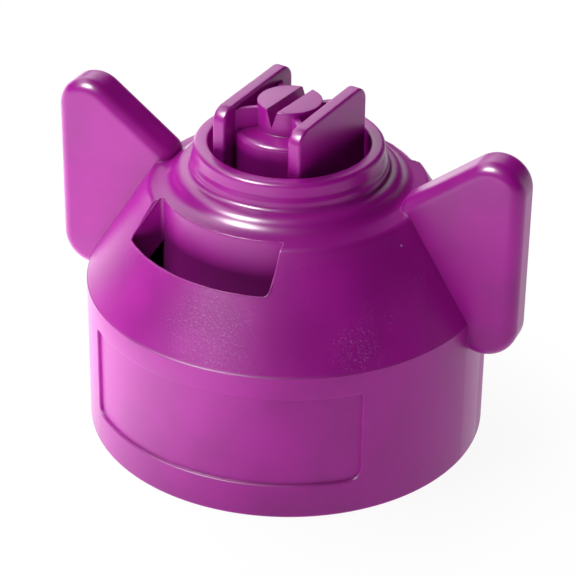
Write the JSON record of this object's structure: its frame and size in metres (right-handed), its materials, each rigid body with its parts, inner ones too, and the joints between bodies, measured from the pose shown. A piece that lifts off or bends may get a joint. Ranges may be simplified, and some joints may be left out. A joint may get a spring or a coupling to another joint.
{
  "type": "bayonet-cap spray nozzle",
  "caption": "Quarter-turn bayonet cap with two finger wings, holding a slotted flat-fan air-induction spray tip that comes apart for cleaning.",
  "frame": {"origin": "centre of the cap's open mouth, in the plane of the skirt's rim", "axes": "+Z along the cap's axis from the mouth to the spray outlet, and the two finger wings reach out along +X and -X"},
  "size_m": [0.0404, 0.033, 0.0293],
  "materials": {
    "cap_plastic": "moulded acetal, satin, with a fine texture on the shoulder",
    "tip_plastic": "moulded acetal, satin",
    "insert_plastic": "moulded acetal, natural",
    "seal_rubber": "moulded rubber, matte"
  },
  "bodies": {
    "cap_body": {"cap": "cap_plastic"},
    "tip_body": {"nozzle_tip": "tip_plastic"},
    "gasket_body": {"seat_gasket": "seal_rubber"},
    "insert_body": {"mixing_insert": "insert_plastic", "insert_o_ring": "seal_rubber"},
    "disc_body": {"metering_disc": "insert_plastic", "disc_o_ring": "seal_rubber"}
  },
  "joints": [
    {"name": "tip_release", "type": "slide", "parent": "cap_body", "child": "tip_body", "axis": [0, 0, -1], "range_m": [0, 0.034], "stiffness_N_per_m": 40},
    {"name": "gasket_release", "type": "slide", "parent": "tip_body", "child": "gasket_body", "axis": [0, 0, -1], "range_m": [0, 0.01], "stiffness_N_per_m": 5},
    {"name": "insert_release", "type": "slide", "parent": "tip_body", "child": "insert_body", "axis": [0, 0, -1], "range_m": [0, 0.026], "stiffness_N_per_m": 5},
    {"name": "disc_release", "type": "slide", "parent": "insert_body", "child": "disc_body", "axis": [0, 0, -1], "range_m": [0, 0.01], "stiffness_N_per_m": 2}
  ]
}
